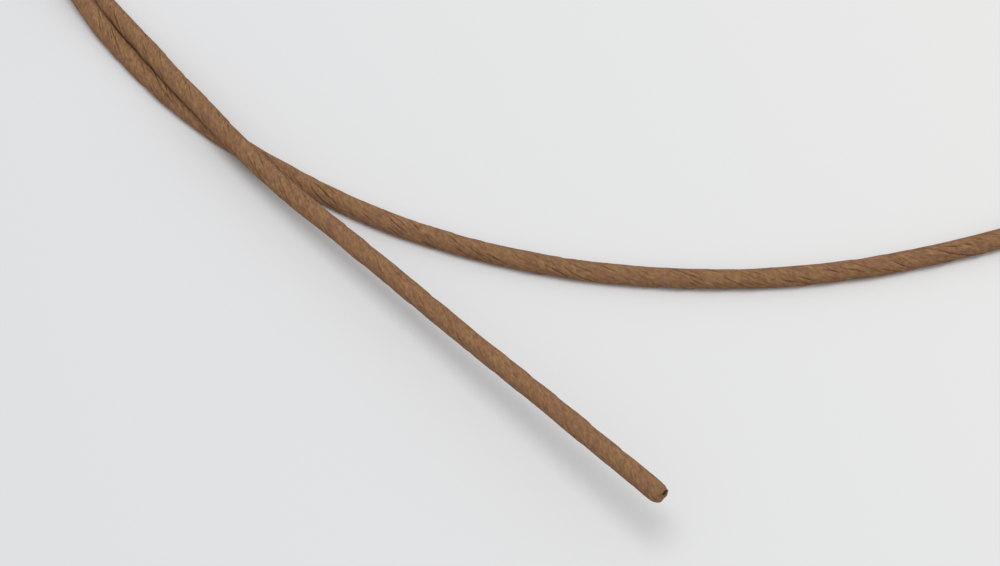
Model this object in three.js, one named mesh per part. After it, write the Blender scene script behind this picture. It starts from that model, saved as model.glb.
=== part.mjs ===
// Paper-covered craft wire: a soft steel core inside a kraft paper strip that is
// folded and twisted tightly round it, right-handed. The piece lies as an oval
// loop on a table, with one end crossing over the other and rising clear of it.
import * as THREE from "three";

// Driving dimensions, in millimetres
const WRAP_DIAMETER = 2.0; // over the crests of the twisted paper
const CORE_DIAMETER = 0.8; // the steel wire
const CORE_CLEARANCE = 0.1; // between the steel and the paper, all round
const CORE_RECESS = 0.3; // the paper's cut end stands past the steel's
const CUT_END_DIAMETER = 1.76; // the paper where the cutter pinched it
const LAY_LENGTH = 15; // along the wire, for one whole turn of the paper
const FOLD_HEIGHT = 0.12; // step at the edge of each fold
const FLAT_DEPTH = 0.2; // of the underside, pressed flat on the table
const CROSSING_GAP = 0.45; // clear height where the wire passes over itself

// Counts
const FOLDS = 4; // folds of the strip round the wire
const POINTS_PER_FOLD = 3;
const STEPS_PER_LAY = 9;
const CORE_SIDES = 6;
const PAPER_STEPS_PER_CORE_STEP = 3;
const GAP_POINTS = 1500; // along the wire, where its gap to itself is measured

// The share of a fold's width that its rising face takes up; the rest is its edge
const FOLD_FACE_SHARE = 0.94;

// The wire's centreline from the free end: x, y, and the level it lies at, where
// 0 is on the table and 1 is on another stretch of the wire
const ROUTE = [
  // The free end, straight, from where it stands clear of the table
  [1.4, -51.9, 2.94], [-4.5, -46.0, 2.64], [-10.6, -40.0, 2.34], [-17.0, -33.8, 2.04],
  [-23.6, -27.4, 1.74], [-29.9, -21.1, 1.45], [-34.7, -16.2, 1.24], [-39.2, -11.4, 1.05],
  // Over the other stretch, down inside it, and under it to the outside
  [-42.9, -7.2, 1.01], [-45.2, -4.5, 0.96], [-48.1, -0.6, 0.76], [-51.4, 3.9, 0.37],
  [-55.0, 8.7, 0], [-58.5, 13.3, 0], [-61.1, 18.0, 0], [-62.7, 23.2, 0],
  // Round the loop: the left bend, the far side, the right bend
  [-62.5, 28.9, 0], [-60.1, 34.7, 0], [-55.4, 39.7, 0], [-44.6, 45.6, 0],
  [-34.5, 48.6, 0], [-21.4, 50.6, 0], [-6.4, 51.5, 0], [9.0, 51.0, 0],
  [24.0, 48.6, 0], [38.0, 43.6, 0], [50.1, 35.3, 0], [59.0, 23.7, 0],
  [62.8, 10.5, 0], [60.0, -2.5, 0], [52.4, -12.0, 0], [43.4, -17.5, 0],
  // The near side, as far as the crossing
  [35.6, -20.4, 0], [23.5, -23.3, 0], [11.4, -24.6, 0], [-0.7, -24.2, 0],
  [-12.7, -22.1, 0], [-24.5, -18.1, 0], [-34.0, -13.2, 0], [-42.9, -7.2, 0],
  // Under the free end, up beside it, and over it to the inside
  [-45.8, -5.0, 0], [-49.3, -1.7, 0], [-53.2, 2.4, 0], [-56.9, 7.1, 0.14],
  [-60.3, 12.3, 0.61], [-62.1, 17.7, 0.91], [-62.6, 23.2, 1.01], [-61.4, 28.5, 0.91],
  // Down on to the table along the inside of the left bend, to the other end
  [-58.5, 33.2, 0.6], [-54.6, 37.1, 0.2], [-49.4, 40.5, 0], [-39.8, 44.5, 0],
];

const kraftPaper = new THREE.MeshStandardMaterial({ color: 0x836247, roughness: 0.95, metalness: 0 });
const annealedSteel = new THREE.MeshStandardMaterial({ color: 0x5b5a58, roughness: 0.45, metalness: 1 });

const UP = new THREE.Vector3(0, 0, 1);
const bedHeight = WRAP_DIAMETER / 2 - FLAT_DEPTH;
const levelHeight = WRAP_DIAMETER + CROSSING_GAP;

const route = new THREE.CatmullRomCurve3(
  ROUTE.map(([x, y, level]) => new THREE.Vector3(x, y, bedHeight + level * levelHeight)),
  false,
  "centripetal",
);
route.arcLengthDivisions = 4000;
const wireLength = route.getLength();

// The outline of the twisted strip: each fold's face rises slowly round the wire
// and drops at the fold's edge on to the start of the next one.
function foldedOutline() {
  const outline = [];
  const foldAngle = (2 * Math.PI) / FOLDS;
  for (let fold = 0; fold < FOLDS; fold += 1) {
    for (let point = 0; point < POINTS_PER_FOLD; point += 1) {
      const share = point / (POINTS_PER_FOLD - 1);
      outline.push({
        angle: foldAngle * (fold + share * FOLD_FACE_SHARE),
        radius: WRAP_DIAMETER / 2 - FOLD_HEIGHT * (1 - share),
      });
    }
  }
  return outline;
}

function roundOutline(diameter) {
  return Array.from({ length: CORE_SIDES }, (_, side) => ({
    angle: (2 * Math.PI * side) / CORE_SIDES,
    radius: diameter / 2,
  }));
}

// An outline's points square to the wire at a distance along it. The angle is
// counted right-handed about the wire from its left side.
function ringAt(distance, outline, turn, scale) {
  const share = distance / wireLength;
  const centre = route.getPointAt(share);
  const along = route.getTangentAt(share);
  const left = new THREE.Vector3().crossVectors(UP, along).normalize();
  const above = new THREE.Vector3().crossVectors(along, left);
  return outline.map(({ angle, radius }) =>
    centre.clone()
      .addScaledVector(left, scale * radius * Math.cos(angle + turn))
      .addScaledVector(above, scale * radius * Math.sin(angle + turn)));
}

// Distances along the wire at even steps between two marks
function evenSteps(from, to, steps) {
  return Array.from({ length: steps + 1 }, (_, step) => THREE.MathUtils.lerp(from, to, step / steps));
}

// Collects rings into one closed surface
class Skin {
  constructor() {
    this.positions = [];
    this.triangles = [];
  }

  // Adds rings and the wall between them, facing away from the wire or towards it
  addWall(rings, facesOut) {
    const sides = rings[0].length;
    const first = this.positions.length / 3;
    rings.flat().forEach((point) => this.positions.push(point.x, point.y, point.z));
    for (let step = 0; step < rings.length - 1; step += 1) {
      for (let side = 0; side < sides; side += 1) {
        const near = first + step * sides + side;
        const nearNext = first + step * sides + ((side + 1) % sides);
        const far = near + sides;
        const farNext = nearNext + sides;
        this.addTriangle(near, nearNext, far, facesOut);
        this.addTriangle(nearNext, farNext, far, facesOut);
      }
    }
    const last = first + (rings.length - 1) * sides;
    return { start: this.range(first, sides), end: this.range(last, sides) };
  }

  // Closes one cut end: the outline less the bore, when there is one
  addCutEnd(outlineIndices, boreIndices, outline, bore, facesForward) {
    const indices = [...outlineIndices, ...boreIndices];
    const holes = bore.length > 0 ? [bore] : [];
    for (const [a, b, c] of THREE.ShapeUtils.triangulateShape(outline, holes)) {
      this.addTriangle(indices[a], indices[b], indices[c], facesForward);
    }
  }

  addTriangle(a, b, c, facesOut) {
    this.triangles.push(...(facesOut ? [a, b, c] : [a, c, b]));
  }

  range(first, count) {
    return Array.from({ length: count }, (_, step) => first + step);
  }

  geometry() {
    const geometry = new THREE.BufferGeometry();
    geometry.setAttribute("position", new THREE.Float32BufferAttribute(this.positions, 3));
    geometry.setIndex(this.triangles);
    geometry.computeVertexNormals();
    return geometry;
  }
}

function flatOutline(outline, turn, scale) {
  return outline.map(({ angle, radius }) => new THREE.Vector2(
    scale * radius * Math.cos(angle + turn),
    scale * radius * Math.sin(angle + turn),
  ));
}

const coreSteps = Math.round(
  (wireLength / LAY_LENGTH) * (STEPS_PER_LAY / PAPER_STEPS_PER_CORE_STEP),
);

// The paper: the folded outline turned once in each lay length, its underside
// pressed flat on the table, its two cut ends pinched, and a bore for the steel
function paperWrap() {
  const outline = foldedOutline();
  const bore = roundOutline(CORE_DIAMETER + 2 * CORE_CLEARANCE);
  const steps = coreSteps * PAPER_STEPS_PER_CORE_STEP;
  const pinch = CUT_END_DIAMETER / WRAP_DIAMETER;
  const turnAt = (distance) => (2 * Math.PI * distance) / LAY_LENGTH;
  const outside = evenSteps(0, wireLength, steps).map((distance, step) => {
    const scale = step === 0 || step === steps ? pinch : 1;
    const ring = ringAt(distance, outline, turnAt(distance), scale);
    ring.forEach((point) => point.setZ(Math.max(point.z, 0)));
    return ring;
  });
  const inside = evenSteps(0, wireLength, coreSteps).map((distance) => ringAt(distance, bore, 0, 1));
  const skin = new Skin();
  const outer = skin.addWall(outside, true);
  const inner = skin.addWall(inside, false);
  const flatBore = flatOutline(bore, 0, 1);
  skin.addCutEnd(outer.start, inner.start, flatOutline(outline, turnAt(0), pinch), flatBore, false);
  skin.addCutEnd(outer.end, inner.end, flatOutline(outline, turnAt(wireLength), pinch), flatBore, true);
  return skin.geometry();
}

// The steel: a plain round wire, cut a little short of the paper at both ends
function coreWire() {
  const outline = roundOutline(CORE_DIAMETER);
  const marks = evenSteps(0, wireLength, coreSteps);
  marks[0] = CORE_RECESS;
  marks[coreSteps] = wireLength - CORE_RECESS;
  const rings = marks.map((distance) => ringAt(distance, outline, 0, 1));
  const skin = new Skin();
  const wall = skin.addWall(rings, true);
  const flat = flatOutline(outline, 0, 1);
  skin.addCutEnd(wall.start, [], flat, [], false);
  skin.addCutEnd(wall.end, [], flat, [], true);
  return skin.geometry();
}

// The least clear space between two stretches of the wire that lie further apart
// along it than a half circle of the wire's tightest bend
function leastGapToItself() {
  const apartAlong = 4 * WRAP_DIAMETER;
  const points = route.getSpacedPoints(GAP_POINTS);
  const spacing = wireLength / GAP_POINTS;
  let least = Infinity;
  points.forEach((point, index) => {
    for (let other = index + Math.ceil(apartAlong / spacing); other < points.length; other += 1) {
      least = Math.min(least, point.distanceTo(points[other]));
    }
  });
  return least - WRAP_DIAMETER;
}

console.log(`wire length ${wireLength.toFixed(1)} mm`);
console.log(`least gap of the wire to itself ${leastGapToItself().toFixed(2)} mm`);

function piece(name, geometry, material) {
  const mesh = new THREE.Mesh(geometry, material);
  mesh.name = name;
  return mesh;
}

const paperCoveredWire = new THREE.Group();
paperCoveredWire.add(piece("core_wire", coreWire(), annealedSteel));
paperCoveredWire.add(piece("paper_wrap", paperWrap(), kraftPaper));

export default paperCoveredWire;
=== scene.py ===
import math

import bpy
import numpy as np
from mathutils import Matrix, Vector


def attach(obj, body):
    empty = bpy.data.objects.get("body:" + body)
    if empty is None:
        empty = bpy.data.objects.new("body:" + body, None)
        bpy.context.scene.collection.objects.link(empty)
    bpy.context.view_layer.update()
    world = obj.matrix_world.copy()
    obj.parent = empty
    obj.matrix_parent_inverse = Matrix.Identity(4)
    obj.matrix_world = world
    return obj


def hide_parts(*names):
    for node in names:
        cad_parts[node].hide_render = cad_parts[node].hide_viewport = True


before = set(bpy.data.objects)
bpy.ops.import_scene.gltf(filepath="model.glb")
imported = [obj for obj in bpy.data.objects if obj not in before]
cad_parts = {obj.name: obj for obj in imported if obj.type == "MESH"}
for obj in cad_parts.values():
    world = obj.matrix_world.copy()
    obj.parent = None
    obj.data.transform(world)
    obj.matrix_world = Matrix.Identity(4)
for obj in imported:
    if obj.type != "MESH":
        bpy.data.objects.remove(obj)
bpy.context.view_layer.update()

# The wire's course
# Soft steel wire stays as it was bent: one loose oval loop on the table, its two ends twisted
# three quarters of a turn round each other. The free end rises clear of the table, and the other
# end lies inside the left bend.
BED_HEIGHT = 0.0008  # of the wire's middle, where it lies on the table
TOUCHING = 0.0021  # between the middles of two stretches that press against each other
PAIR_TURN = math.radians(4900)  # of the two stretches about each other, for each metre
STEPS_PER_SPAN = 200  # of the smooth course, from one of its points to the next
FREE_END = np.array([
    (0.0014, -0.0519, 0.0080), (-0.0045, -0.0460, 0.0072), (-0.0106, -0.0399, 0.0064),
    (-0.0170, -0.0337, 0.0056), (-0.0236, -0.0271, 0.0048), (-0.0299, -0.0209, 0.0041),
    (-0.0347, -0.0162, 0.0035), (-0.0392, -0.0114, 0.0030),
])
# On the table, the line that the two stretches turn about, from where they cross
PAIR_LINE = np.array([
    (-0.0428, -0.0072), (-0.0449, -0.0051), (-0.0480, -0.0019), (-0.0517, 0.0025),
    (-0.0560, 0.0079), (-0.0597, 0.0133), (-0.0618, 0.0188), (-0.0626, 0.0244), (-0.0614, 0.0299),
    (-0.0586, 0.0349), (-0.0548, 0.0386),
])
# The far side, the right bend and the near side of the loop, back to the crossing
LOOP = np.array([
    (-0.0446, 0.0456), (-0.0345, 0.0486), (-0.0214, 0.0506), (-0.0064, 0.0515), (0.0090, 0.0510),
    (0.0240, 0.0486), (0.0380, 0.0436), (0.0501, 0.0353), (0.0590, 0.0237), (0.0628, 0.0105),
    (0.0600, -0.0025), (0.0524, -0.0120), (0.0434, -0.0175), (0.0356, -0.0204), (0.0235, -0.0233),
    (0.0114, -0.0246), (-0.0007, -0.0242), (-0.0127, -0.0221), (-0.0245, -0.0181),
    (-0.0340, -0.0131),
])
OTHER_END = np.array([(-0.0496, 0.0404), (-0.0398, 0.0445)])


def on_table(line):
    """A flat line's points, each at the height of the wire's middle where it lies on the table."""
    return np.column_stack([line, np.full(len(line), BED_HEIGHT)])


def twisted_pair(line):
    """Two stretches on either side of a line, half their spacing from it, turned about it by an
    angle that grows with the distance along it. The lower one lies on the table."""
    reach = np.append(0, np.cumsum(np.linalg.norm(np.diff(line, axis=0), axis=1)))
    along = np.gradient(line, reach, axis=0)
    along = along / np.linalg.norm(along, axis=1, keepdims=True)
    right = np.column_stack([along[:, 1], -along[:, 0]])
    turn = PAIR_TURN * reach
    aside = TOUCHING / 2 * np.sin(turn)[:, None] * right
    above = TOUCHING * np.cos(turn)
    first = np.column_stack([line + aside, BED_HEIGHT + np.maximum(above, 0)])
    second = np.column_stack([line - aside, BED_HEIGHT + np.maximum(-above, 0)])
    return first, second


def smooth_course(points):
    """A cubic between each two points, whose end slopes come from the points on either side, with
    each span timed by the square root of its length."""
    before = 2 * points[0] - points[1]
    after = 2 * points[-1] - points[-2]
    row = np.vstack([before, points, after])
    time = np.sqrt(np.linalg.norm(np.diff(row, axis=0), axis=1))[:, None]
    last, span, following = time[:-2], time[1:-1], time[2:]
    a, b, c, d = row[:-3], row[1:-2], row[2:-1], row[3:]
    slope_b = span * ((b - a) / last - (c - a) / (last + span) + (c - b) / span)
    slope_c = span * ((c - b) / span - (d - b) / (span + following) + (d - c) / following)
    t = np.linspace(0, 1, STEPS_PER_SPAN, endpoint=False)[None, :, None]
    b, c, slope_b, slope_c = b[:, None], c[:, None], slope_b[:, None], slope_c[:, None]
    curve = b + t * slope_b
    curve = curve + t**2 * (3 * (c - b) - 2 * slope_b - slope_c)
    curve = curve + t**3 * (2 * (b - c) + slope_b + slope_c)
    return np.vstack([curve.reshape(-1, 3), points[-1:]])


first_stretch, second_stretch = twisted_pair(PAIR_LINE)
course = smooth_course(np.vstack([
    FREE_END, first_stretch, on_table(LOOP), second_stretch, on_table(OTHER_END),
]))
course_reach = np.append(0, np.cumsum(np.linalg.norm(np.diff(course, axis=0), axis=1)))
WIRE_LENGTH = course_reach[-1]
course_along = np.gradient(course, course_reach, axis=0)


def read_off(vectors, reach):
    """The course's vectors at distances along the wire, straight from one of them to the next."""
    return np.stack([np.interp(reach, course_reach, part) for part in vectors.T], axis=-1)


def stations(reach):
    """The wire's middle, its level left side and its upper side at distances along it. Past an
    end the wire goes straight on."""
    along = read_off(course_along, reach)
    along = along / np.linalg.norm(along, axis=-1, keepdims=True)
    past = reach - np.clip(reach, 0, WIRE_LENGTH)
    middle = read_off(course, reach) + past[..., None] * along
    left = np.cross([0, 0, 1], along)
    left = left / np.linalg.norm(left, axis=-1, keepdims=True)
    return middle, left, np.cross(along, left)


# Steel core
# Soft annealed steel wire that runs the whole length inside the paper and gives it its stiffness.
# Cutters part it with two slanted faces that meet in a ridge, a little inside the paper's end.
CORE_DIAMETER = 0.0008
CORE_RECESS = 0.0003  # of the steel's cut end inside the paper's
CORE_SIDES = 24
CORE_STEP = 0.0008  # along the wire, from ring to ring
CUT_RIDGE = 0.0001  # height of the ridge that the cutters leave
CUT_RINGS = np.array([1.0, 0.9, 0.7, 0.45, 0.2])[:, None]  # of a cut end, as shares of its radius


def around(reach, angle, radius):
    """Points at angles and radii round the wire's middle, counted right-handed from its left."""
    middle, left, above = stations(reach)
    return (
        middle[:, None]
        + (radius * np.cos(angle))[..., None] * left[:, None]
        + (radius * np.sin(angle))[..., None] * above[:, None]
    )


def grid_quads(rows, columns, closed):
    """Four corners for each cell of a grid of points, numbered row by row. The columns always
    close into a ring, and with closed so do the rows."""
    row = np.arange(rows if closed else rows - 1)[:, None]
    column = np.arange(columns)[None, :]
    next_row = (row + 1) % rows
    next_column = (column + 1) % columns
    corners = [
        row * columns + column,
        row * columns + next_column,
        next_row * columns + next_column,
        next_row * columns + column,
    ]
    return np.stack(corners, axis=-1).reshape(-1, 4)


def new_piece(name, points, faces):
    """A smooth-shaded piece in the scene, whose faces name their corners by the points' order."""
    mesh = bpy.data.meshes.new(name)
    mesh.from_pydata(points.reshape(-1, 3), [], faces)
    mesh.polygons.foreach_set("use_smooth", np.ones(len(mesh.polygons), bool))
    piece = bpy.data.objects.new(name, mesh)
    bpy.context.scene.collection.objects.link(piece)
    return piece


def core_points():
    """Rings along the wire. At each end, shrinking rings step out by the ridge's height times
    (1 - distance from the ridge / radius), so that two slopes meet across the wire."""
    angle = 2 * np.pi * np.arange(CORE_SIDES)[None] / CORE_SIDES
    body = np.arange(CORE_RECESS, WIRE_LENGTH - CORE_RECESS, CORE_STEP)[1:]
    sides = around(body, angle, np.full((len(body), CORE_SIDES), CORE_DIAMETER / 2))
    slope = CUT_RIDGE * (1 - CUT_RINGS * np.abs(np.cos(angle)))
    caps = []
    for end, outward in ((CORE_RECESS, -1), (WIRE_LENGTH - CORE_RECESS, 1)):
        cut = np.array([end])
        _, left, above = stations(cut)
        forward = outward * np.cross(left, above)
        caps.append(around(cut, angle, CUT_RINGS * CORE_DIAMETER / 2) + slope[..., None] * forward)
    return np.concatenate([caps[0][::-1], sides, caps[1]])


core_grid = core_points()
core_rings = len(core_grid)
core_quads = grid_quads(core_rings, CORE_SIDES, closed=False)
first_cap = np.arange(CORE_SIDES)[::-1]
last_cap = (core_rings - 1) * CORE_SIDES + np.arange(CORE_SIDES)
steel_core = new_piece(
    "steel_core", core_grid, core_quads.tolist() + [first_cap.tolist(), last_cap.tolist()]
)

OXIDE_BLOTCHES = 3000  # to the metre
DARK_OXIDE = (0.05, 0.046, 0.044)
WORN_STEEL = (0.16, 0.155, 0.15)
OXIDE_ROUGHNESS = 0.6
STEEL_ROUGHNESS = 0.35


def annealed_steel():
    """Dull grey-black steel: noise gives the blotches of its oxide skin, and it is paler and
    shinier between them."""
    material = bpy.data.materials.new("annealed_steel")
    material.use_nodes = True
    nodes, links = material.node_tree.nodes, material.node_tree.links
    shader = nodes["Principled BSDF"]
    shader.inputs["Metallic"].default_value = 1.0
    place = nodes.new("ShaderNodeTexCoord")
    blotch = nodes.new("ShaderNodeTexNoise")
    blotch.inputs["Scale"].default_value = OXIDE_BLOTCHES
    blotch.inputs["Detail"].default_value = 4
    tint = nodes.new("ShaderNodeValToRGB")
    tint.color_ramp.elements[0].color = (*DARK_OXIDE, 1)
    tint.color_ramp.elements[1].color = (*WORN_STEEL, 1)
    dull = nodes.new("ShaderNodeMapRange")
    dull.inputs["To Min"].default_value = OXIDE_ROUGHNESS
    dull.inputs["To Max"].default_value = STEEL_ROUGHNESS
    links.new(place.outputs["Object"], blotch.inputs["Vector"])
    links.new(blotch.outputs["Fac"], tint.inputs["Fac"])
    links.new(blotch.outputs["Fac"], dull.inputs["Value"])
    links.new(tint.outputs["Color"], shader.inputs["Base Color"])
    links.new(dull.outputs["Result"], shader.inputs["Roughness"])
    return material


steel_core.data.materials.append(annealed_steel())
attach(steel_core, "root")
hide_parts("core_wire")

# Paper wrap
# One strip of brown kraft paper, gathered into folds and twisted tightly round the core,
# right-handed. Each fold's edge steps down on to the next, and between them the paper creases.
WRAP_DIAMETER = 0.002  # over the paper
LAY_LENGTH = 0.015  # along the wire, for one whole turn of the paper
PAPER_STEP = 0.0004  # along the wire, from row to row of the outside
BORE_DIAMETER = 0.001
BORE_STEP = 0.004  # along the wire, from row to row of the bore
BORE_DEPTH = 0.00026  # of the bore's first ring inside the cut end
END_ROUNDING = 0.0009  # length over which the cutters drew the paper in
END_DIAMETER = 0.00164
END_BULGE = 0.00012  # of the cut end, between its rim and its hole
END_ROWS = 14
LIP_DIAMETER = 0.0006  # of the hole that the drawn-in paper leaves
LIP_ASIDE = -0.00043  # of the hole from the wire's middle, to its left
LIP_RAISED = 0.00005
RAGGED = 0.00007  # of the cut rim, along the wire
HOLE_SHADE = 0.55  # how dark the paper in the hole is painted, as shade
HOLE_SHADE_EDGE = 8  # how sharply that painted shade starts at the hole

FOLDS = 4
POINTS_PER_FOLD = 18
FOLD_FACE_SHARE = 0.95  # of a fold's width, with the step down at its edge in the rest
FOLD_HEIGHT = 0.00008
FOLD_SHOWS = 0.55  # share of that height, on average along the wire
FOLD_VARIES = 0.8  # of that share, up and down
LEAST_FOLD, MOST_FOLD = 0.05, 1.1
FOLD_WANDER = 0.4  # radians round the wire
FOLD_WAVER = 0.1  # the same, in shorter waves

CREASE_SLANT = 60  # radians for each metre, across the run of the folds
LEAST_CREASE_SLOPE = 0.5  # of a relief, for each radian: gentler slopes count as this
FADED_CREASE_SLOPE = 0.25  # at which a crease has faded away
CREASED_AT = [0.026, 0.034, 0.06]  # along the wire from the free end
CREASED = [0.4, 0.75, 1.1]  # how strongly, at those places
STAND_OFF = 0.00004  # of the paper where it is creased
PLEATED_SHARE = 0.5  # of the paper, roughly
PLEAT_DEPTH = 0.00005
SHOULDER_HEIGHT = 0.00002  # on either side of a pleat
CRINKLED_SHARE = 0.2
CRINKLE_DEPTH = 0.000025
DENT_HEIGHT = 0.00003
GRAIN_HEIGHT = 0.000012
CRINKLE_SHADE = 0.8  # painted shade of a crinkle, as a share of a pleat's
SHOULDER_HIGHLIGHT = 0.5  # how far the pleats' shoulders are painted pale, as highlights


def crumple(reach, angle, cell, cells_round, seed):
    """Smooth random relief from -1 to 1: seeded values on a lattice of cells wrapped round the
    wire, eased from one to the next by 3t² - 2t³."""
    rows = int(WIRE_LENGTH / cell) + 4  # with spare ones past both ends
    lattice = np.random.default_rng(seed).uniform(-1, 1, (rows, cells_round))
    along = reach / cell + 1
    turn = angle / (2 * np.pi) * cells_round
    row = np.floor(along).astype(int)
    column = np.floor(turn).astype(int)
    u = along - row
    v = turn - column
    u = u * u * (3 - 2 * u)
    v = v * v * (3 - 2 * v)
    near = lattice[row, column % cells_round] * (1 - v)
    near = near + lattice[row, (column + 1) % cells_round] * v
    far = lattice[row + 1, column % cells_round] * (1 - v)
    far = far + lattice[row + 1, (column + 1) % cells_round] * v
    return near * (1 - u) + far * u


def patches(amount, relief):
    """Soft-edged patches from 0 to 1: the amount plus twice a relief, cut off at 0 and 1."""
    return np.clip(amount + 2 * relief, 0, 1)


def crease_lines(field, angle, width):
    """Thin lines where a relief passes through nought: e to the minus (distance / width)², with
    the distance as an angle round the wire, the relief over its slope. They fade where they
    would run straight round the wire."""
    slope = np.abs(np.gradient(field, axis=1) / np.gradient(angle, axis=1))
    lines = np.exp(-((field / (np.maximum(slope, LEAST_CREASE_SLOPE) * width)) ** 2))
    return lines * np.clip(slope - FADED_CREASE_SLOPE, 0, 1)


def skin_rows(on_outside, on_end, in_bore):
    """One value for each row of the paper's skin: the outside, in over the far cut end, back along
    the bore, and out over the near cut end."""
    return np.concatenate([on_outside, on_end, in_bore, on_end[::-1]])[:, None]


# The paper is one closed skin. Each row has its distance along the wire and its radius, how much
# of the folds it shows, how far it is drawn towards the hole, how ragged it is, and how much
# painted shade it gets in and round the hole.
outside = np.linspace(0, WIRE_LENGTH, round(WIRE_LENGTH / PAPER_STEP))
to_end = np.minimum(outside, WIRE_LENGTH - outside)
drawn_in = 1 - np.clip(to_end / END_ROUNDING, 0, 1)
rounding = (WRAP_DIAMETER - END_DIAMETER) / 2 * np.sqrt(1 - drawn_in**2)
inward = np.linspace(0, 1, END_ROWS)[1:]
end_radius = END_DIAMETER / 2 + (LIP_DIAMETER - END_DIAMETER) / 2 * inward
end_bulge = END_BULGE * np.sin(np.pi * np.sqrt(inward))
bore = np.linspace(BORE_DEPTH, WIRE_LENGTH - BORE_DEPTH, round(WIRE_LENGTH / BORE_STEP))[::-1]
plain_outside = np.zeros(len(outside))
plain_bore = np.zeros(len(bore))
paper_reach = np.concatenate([outside, WIRE_LENGTH + end_bulge, bore, -end_bulge[::-1]])
paper_radius = skin_rows(END_DIAMETER / 2 + rounding, end_radius, plain_bore + BORE_DIAMETER / 2)
folded = skin_rows(plain_outside + 1, 1 - inward, plain_bore)
aside = skin_rows(plain_outside, inward, plain_bore)
ragged = skin_rows(drawn_in**2, 1 - inward, plain_bore)
# Painted shade: the bore and the inner rows of each cut end are darkened, standing in for the
# shadow in the hole
painted_hole_shade = HOLE_SHADE * skin_rows(plain_outside, inward**HOLE_SHADE_EDGE, plain_bore + 1)

# Round the wire, the columns of points follow the folds as they wander. A fold's edge stands up
# in some places along the wire and lies nearly flat in others.
fold_share = np.linspace(0, FOLD_FACE_SHARE, POINTS_PER_FOLD)
even_angle = ((np.arange(FOLDS)[:, None] + fold_share) * 2 * np.pi / FOLDS).ravel()[None]
fold_rise = np.tile(np.linspace(-1, 0, POINTS_PER_FOLD), FOLDS)[None]
reach = paper_reach[:, None]
angle = even_angle + FOLD_WANDER * crumple(reach, even_angle, cell=0.0052, cells_round=4, seed=1)
angle = angle + FOLD_WAVER * crumple(reach, even_angle, cell=0.0021, cells_round=4, seed=2)
fold_stands = crumple(reach, even_angle, cell=0.0045, cells_round=4, seed=3)
fold_height = np.clip(FOLD_SHOWS + FOLD_VARIES * fold_stands, LEAST_FOLD, MOST_FOLD)

# The paper creases and stands off a little where the wire was bent, and less on the straight free
# end. Pleats turn about the wire more slowly than the folds, and the finer crinkles faster.
creased = np.interp(reach, CREASED_AT, CREASED)
slant = CREASE_SLANT * reach
pleat_field = crumple(reach, angle + slant, cell=0.0028, cells_round=9, seed=29)
pleat_relief = crumple(reach, angle, cell=0.0021, cells_round=5, seed=32)
pleated = creased * patches(PLEATED_SHARE, pleat_relief)
pleats = pleated * crease_lines(pleat_field, angle, width=0.09)
shoulders = pleated * crease_lines(pleat_field, angle, width=0.3) - pleats
crinkle_field = crumple(reach, angle - slant, cell=0.0018, cells_round=14, seed=61)
crinkle_relief = crumple(reach, angle, cell=0.0023, cells_round=6, seed=96)
crinkled = creased * patches(CRINKLED_SHARE, crinkle_relief)
crinkles = crinkled * crease_lines(crinkle_field, angle, width=0.06)
height = FOLD_HEIGHT * fold_height * fold_rise + STAND_OFF * creased
height = height - PLEAT_DEPTH * pleats + SHOULDER_HEIGHT * shoulders - CRINKLE_DEPTH * crinkles
height = height + DENT_HEIGHT * crumple(reach, angle, cell=0.0038, cells_round=4, seed=7)
height = height + GRAIN_HEIGHT * crumple(reach, angle, cell=0.0018, cells_round=18, seed=8)
radius = paper_radius + folded * height
# Painted shade in the pleats and crinkles, less painted highlight on the pleats' shoulders, plus
# the painted shade in the holes
darkness = pleats + CRINKLE_SHADE * crinkles - SHOULDER_HIGHLIGHT * shoulders
painted_shade_and_highlight = np.clip(darkness, -SHOULDER_HIGHLIGHT, 1) * folded + painted_hole_shade

# The skin turns with the lay, each cut end is drawn aside to its hole and has a ragged rim, and
# the underside is pressed flat on the table
turned = angle + 2 * np.pi * reach / LAY_LENGTH
_, left, above = stations(paper_reach)
paper_grid = around(paper_reach, turned, radius)
paper_grid = paper_grid + (aside * LIP_ASIDE * left + aside * LIP_RAISED * above)[:, None]
torn = RAGGED * ragged * crumple(reach, angle, cell=0.002, cells_round=11, seed=9)
paper_grid = paper_grid + torn[..., None] * np.cross(left, above)[:, None]
paper_grid[..., 2] = np.maximum(paper_grid[..., 2], 0)
paper_rows, paper_columns = painted_shade_and_highlight.shape
twisted_paper = new_piece(
    "twisted_paper", paper_grid, grid_quads(paper_rows, paper_columns, closed=True).tolist()
)

# For the material, each point keeps its place on the paper as if the wire were straight and the
# strip untwisted, and how much painted shade or painted highlight it gets
paper_mesh = twisted_paper.data
straight = np.stack(np.broadcast_arrays(
    radius * np.cos(angle), radius * np.sin(angle), reach,
), axis=-1)
paper_mesh.attributes.new("straight", "FLOAT_VECTOR", "POINT").data.foreach_set(
    "vector", straight.astype(np.float32).ravel()
)
paper_mesh.attributes.new("painted_shade_and_highlight", "FLOAT", "POINT").data.foreach_set(
    "value", painted_shade_and_highlight.astype(np.float32).ravel()
)

# The skin's flat pattern: its rows cut into even strips that lie side by side, a little apart
STRIPS = 8
STRIP_EDGE = 0.01  # of a strip's width, clear along its side
STRIP_FILL = 0.97  # of a strip's width, taken up by the paper
strip_rows = math.ceil(paper_rows / STRIPS)
row = np.arange(paper_rows)[:, None, None]
column = np.arange(paper_columns)[None, :, None]
corner_row = row % strip_rows + np.array([0, 0, 1, 1])
corner_column = column + np.array([0, 1, 1, 0])
across = corner_row / strip_rows
up = (row // strip_rows + STRIP_EDGE + STRIP_FILL * corner_column / paper_columns) / STRIPS
pattern = np.stack(np.broadcast_arrays(across, up), axis=-1)
paper_mesh.uv_layers.new(name="OFBake").data.foreach_set("uv", pattern.astype(np.float32).ravel())

RED_PULP = (0.416, 0.214, 0.126)
PALE_PULP = (0.440, 0.252, 0.118)
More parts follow.
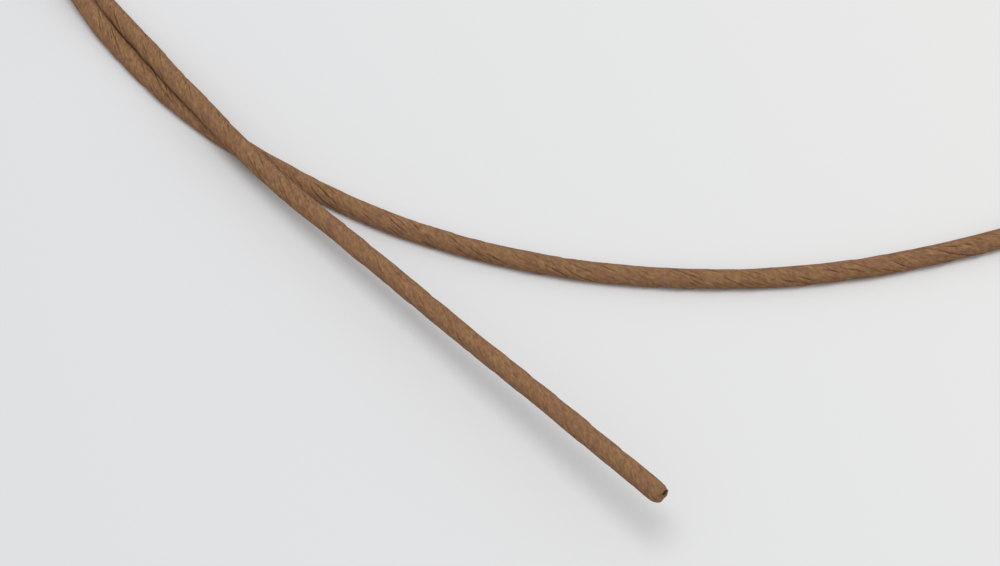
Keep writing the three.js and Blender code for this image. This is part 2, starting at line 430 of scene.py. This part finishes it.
# Shades that multiply the pulp's colour
UNSHADED = (1, 1, 1)
MOTTLE_SHADE = (0.75, 0.745, 0.73)
FIBRE_SHADE = (0.67, 0.66, 0.65)
# Painted shade in the creases and in the holes
PAINTED_CREASE_SHADE = (0.27, 0.21, 0.18)
# Dims the paper away from the painted highlights on the pleats' shoulders
OFF_HIGHLIGHT_SHADE = (0.8, 0.79, 0.77)
FIBRE_RELIEF = 0.00003


def kraft_paper():
    """Brown kraft paper: blotches of the pulp, times its mottles, its fibres drawn out along the
    twist, painted shade in its creases and in its cut ends' holes, and painted highlights on the
    creases' shoulders. The fibres also stand up a little."""
    material = bpy.data.materials.new("kraft_paper")
    material.use_nodes = True
    nodes, links = material.node_tree.nodes, material.node_tree.links
    shader = nodes["Principled BSDF"]
    shader.inputs["Roughness"].default_value = 0.9
    shader.inputs["Specular IOR Level"].default_value = 0.15
    place = nodes.new("ShaderNodeAttribute")
    place.attribute_name = "straight"
    # Carries the painted shade and painted highlight worked out for each point
    painted_shading_attribute = nodes.new("ShaderNodeAttribute")
    painted_shading_attribute.attribute_name = "painted_shade_and_highlight"

    def drawn_out(across, along, detail):
        """Noise on the straightened strip, with its grains to the metre across and along it."""
        stretch = nodes.new("ShaderNodeMapping")
        stretch.inputs["Scale"].default_value = (across, across, along)
        noise = nodes.new("ShaderNodeTexNoise")
        noise.inputs["Scale"].default_value = 1
        noise.inputs["Detail"].default_value = detail
        links.new(place.outputs["Vector"], stretch.inputs["Vector"])
        links.new(stretch.outputs["Vector"], noise.inputs["Vector"])
        return noise.outputs["Fac"]

    def ramp(value, low, low_colour, high, high_colour):
        """A colour that runs evenly from one to the other as the value goes from low to high."""
        tint = nodes.new("ShaderNodeValToRGB")
        tint.color_ramp.elements[0].position = low
        tint.color_ramp.elements[0].color = (*low_colour, 1)
        tint.color_ramp.elements[1].position = high
        tint.color_ramp.elements[1].color = (*high_colour, 1)
        links.new(value, tint.inputs["Fac"])
        return tint.outputs["Color"]

    def multiplied(first, second):
        """The product of two colours."""
        both = nodes.new("ShaderNodeMix")
        both.data_type = "RGBA"
        both.blend_type = "MULTIPLY"
        both.inputs["Factor"].default_value = 1
        links.new(first, both.inputs["A"])
        links.new(second, both.inputs["B"])
        return both.outputs["Result"]

    blotch_noise = drawn_out(across=1200, along=600, detail=3)
    blotches = ramp(blotch_noise, 0.35, RED_PULP, 0.65, PALE_PULP)
    mottle_noise = drawn_out(across=2400, along=1600, detail=3)
    mottles = ramp(mottle_noise, 0.32, MOTTLE_SHADE, 0.68, UNSHADED)
    fibre_noise = drawn_out(across=5200, along=2300, detail=2)
    fibres = ramp(fibre_noise, 0.32, FIBRE_SHADE, 0.68, UNSHADED)
    crease_shading = ramp(painted_shading_attribute.outputs["Fac"], 0.1, UNSHADED, 1.0, PAINTED_CREASE_SHADE)
    # Painted highlight: the pleats' shoulders keep full colour and the rest of the paper is dimmed
    highlighted = nodes.new("ShaderNodeMapRange")
    highlighted.inputs["From Min"].default_value = -SHOULDER_HIGHLIGHT
    highlighted.inputs["From Max"].default_value = 0.0
    links.new(painted_shading_attribute.outputs["Fac"], highlighted.inputs["Value"])
    shoulders = ramp(highlighted.outputs["Result"], 0.0, UNSHADED, 1.0, OFF_HIGHLIGHT_SHADE)
    tint = multiplied(multiplied(blotches, mottles), multiplied(fibres, crease_shading))
    links.new(multiplied(tint, shoulders), shader.inputs["Base Color"])
    bump = nodes.new("ShaderNodeBump")
    bump.inputs["Strength"].default_value = 0.38
    bump.inputs["Distance"].default_value = FIBRE_RELIEF
    links.new(fibre_noise, bump.inputs["Height"])
    links.new(bump.outputs["Normal"], shader.inputs["Normal"])
    return material


paper_mesh.materials.append(kraft_paper())
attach(twisted_paper, "root")
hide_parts("paper_wrap")

# Table, light and camera
# A plain pale table top, with painted light making its colour a little brighter to the right,
# under one broad soft lamp overhead, with the room's own light coming from all round and mostly
# from above.
AIM = np.array((-0.0135, -0.02463, 0.0))  # the point of the table in the middle of the picture
TABLE_SIZE = 4.0
TINT_WIDTH = 0.11  # over which the table's colour changes
TINT_TURN = math.radians(-20)  # of that change from the table's X axis
# Painted light: the table's colour is darker and cooler on the left and lighter on the right
SHADED_COOL_WHITE = (0.715, 0.722, 0.737)
LIT_PLAIN_WHITE = (0.785, 0.785, 0.78)
table_top = new_piece(
    "table_top",
    np.array([(-1, -1, 0), (1, -1, 0), (1, 1, 0), (-1, 1, 0)]) * TABLE_SIZE / 2,
    [(0, 1, 2, 3)],
)


def pale_table():
    """Near-white matt sheet, its colour running evenly from cool on the left to plain on the
    right: painted light, brighter on the right."""
    material = bpy.data.materials.new("pale_table")
    material.use_nodes = True
    nodes, links = material.node_tree.nodes, material.node_tree.links
    shader = nodes["Principled BSDF"]
    shader.inputs["Roughness"].default_value = 0.95
    shader.inputs["Specular IOR Level"].default_value = 0.0
    place = nodes.new("ShaderNodeTexCoord")
    across = nodes.new("ShaderNodeMapping")
    across.inputs["Location"].default_value = (0.5 - AIM[0] / TINT_WIDTH, 0.0, 0.0)
    across.inputs["Rotation"].default_value = (0.0, 0.0, TINT_TURN)
    across.inputs["Scale"].default_value = (1 / TINT_WIDTH, 1 / TINT_WIDTH, 1.0)
    gradient = nodes.new("ShaderNodeTexGradient")
    tint = nodes.new("ShaderNodeValToRGB")
    tint.color_ramp.elements[0].color = (*SHADED_COOL_WHITE, 1)
    tint.color_ramp.elements[1].color = (*LIT_PLAIN_WHITE, 1)
    links.new(place.outputs["Object"], across.inputs["Vector"])
    links.new(across.outputs["Vector"], gradient.inputs["Vector"])
    links.new(gradient.outputs["Color"], tint.inputs["Fac"])
    links.new(tint.outputs["Color"], shader.inputs["Base Color"])
    return material


table_top.data.materials.append(pale_table())

LAMP_LEAN = np.array((-0.08, 0.06, 1.0))  # from the table up to the lamp
LAMP_FROM = LAMP_LEAN / np.linalg.norm(LAMP_LEAN)
LAMP_DISTANCE = 2.5
LAMP_SIZE = 1.4
LAMP_WATTS = 24.5
lamp = bpy.data.lights.new("broad_lamp", "AREA")
lamp.shape = "DISK"
lamp.size = LAMP_SIZE
lamp.energy = LAMP_WATTS
lamp_stand = bpy.data.objects.new("broad_lamp", lamp)
lamp_stand.location = AIM + LAMP_DISTANCE * LAMP_FROM
lamp_stand.rotation_euler = Vector(LAMP_FROM).to_track_quat("Z", "Y").to_euler()
bpy.context.scene.collection.objects.link(lamp_stand)

ROOM_BRIGHTEST = (0.1, 0.15, 0.984)  # towards the brightest part of the room
ROOM_STRENGTH = 0.877  # of the light from there
ROOM_DARK = -0.5  # the dot product below which no light comes


def room_light():
    """White light from the room, rising from nothing low down to its most overhead: the strength
    follows the direction's dot product with the brightest one."""
    world = bpy.data.worlds.new("room_light")
    world.use_nodes = True
    nodes, links = world.node_tree.nodes, world.node_tree.links
    room = nodes["Background"]
    room.inputs["Color"].default_value = (1, 1, 1, 1)
    place = nodes.new("ShaderNodeTexCoord")
    towards = nodes.new("ShaderNodeVectorMath")
    towards.operation = "DOT_PRODUCT"
    towards.inputs[1].default_value = ROOM_BRIGHTEST
    rise = nodes.new("ShaderNodeMapRange")
    rise.inputs["From Min"].default_value = ROOM_DARK
    rise.inputs["From Max"].default_value = 1.0
    rise.inputs["To Min"].default_value = 0.0
    rise.inputs["To Max"].default_value = ROOM_STRENGTH
    links.new(place.outputs["Generated"], towards.inputs[0])
    links.new(towards.outputs["Value"], rise.inputs["Value"])
    links.new(rise.outputs["Result"], room.inputs["Strength"])
    return world


bpy.context.scene.world = room_light()

CAMERA_ELEVATION = math.radians(60)
CAMERA_DISTANCE = 0.2357
CAMERA_LENS = 84.0  # millimetres
CAMERA_SENSOR = 36  # millimetres across
camera = bpy.data.cameras.new("camera")
camera.lens = CAMERA_LENS
camera.sensor_width = CAMERA_SENSOR
camera_stand = bpy.data.objects.new("camera", camera)
camera_stand.location = AIM + CAMERA_DISTANCE * np.array(
    (0.0, -math.cos(CAMERA_ELEVATION), math.sin(CAMERA_ELEVATION))
)
camera_stand.rotation_euler = (math.pi / 2 - CAMERA_ELEVATION, 0, 0)
bpy.context.scene.collection.objects.link(camera_stand)
bpy.context.scene.camera = camera_stand
bpy.context.scene.view_settings.view_transform = "Standard"
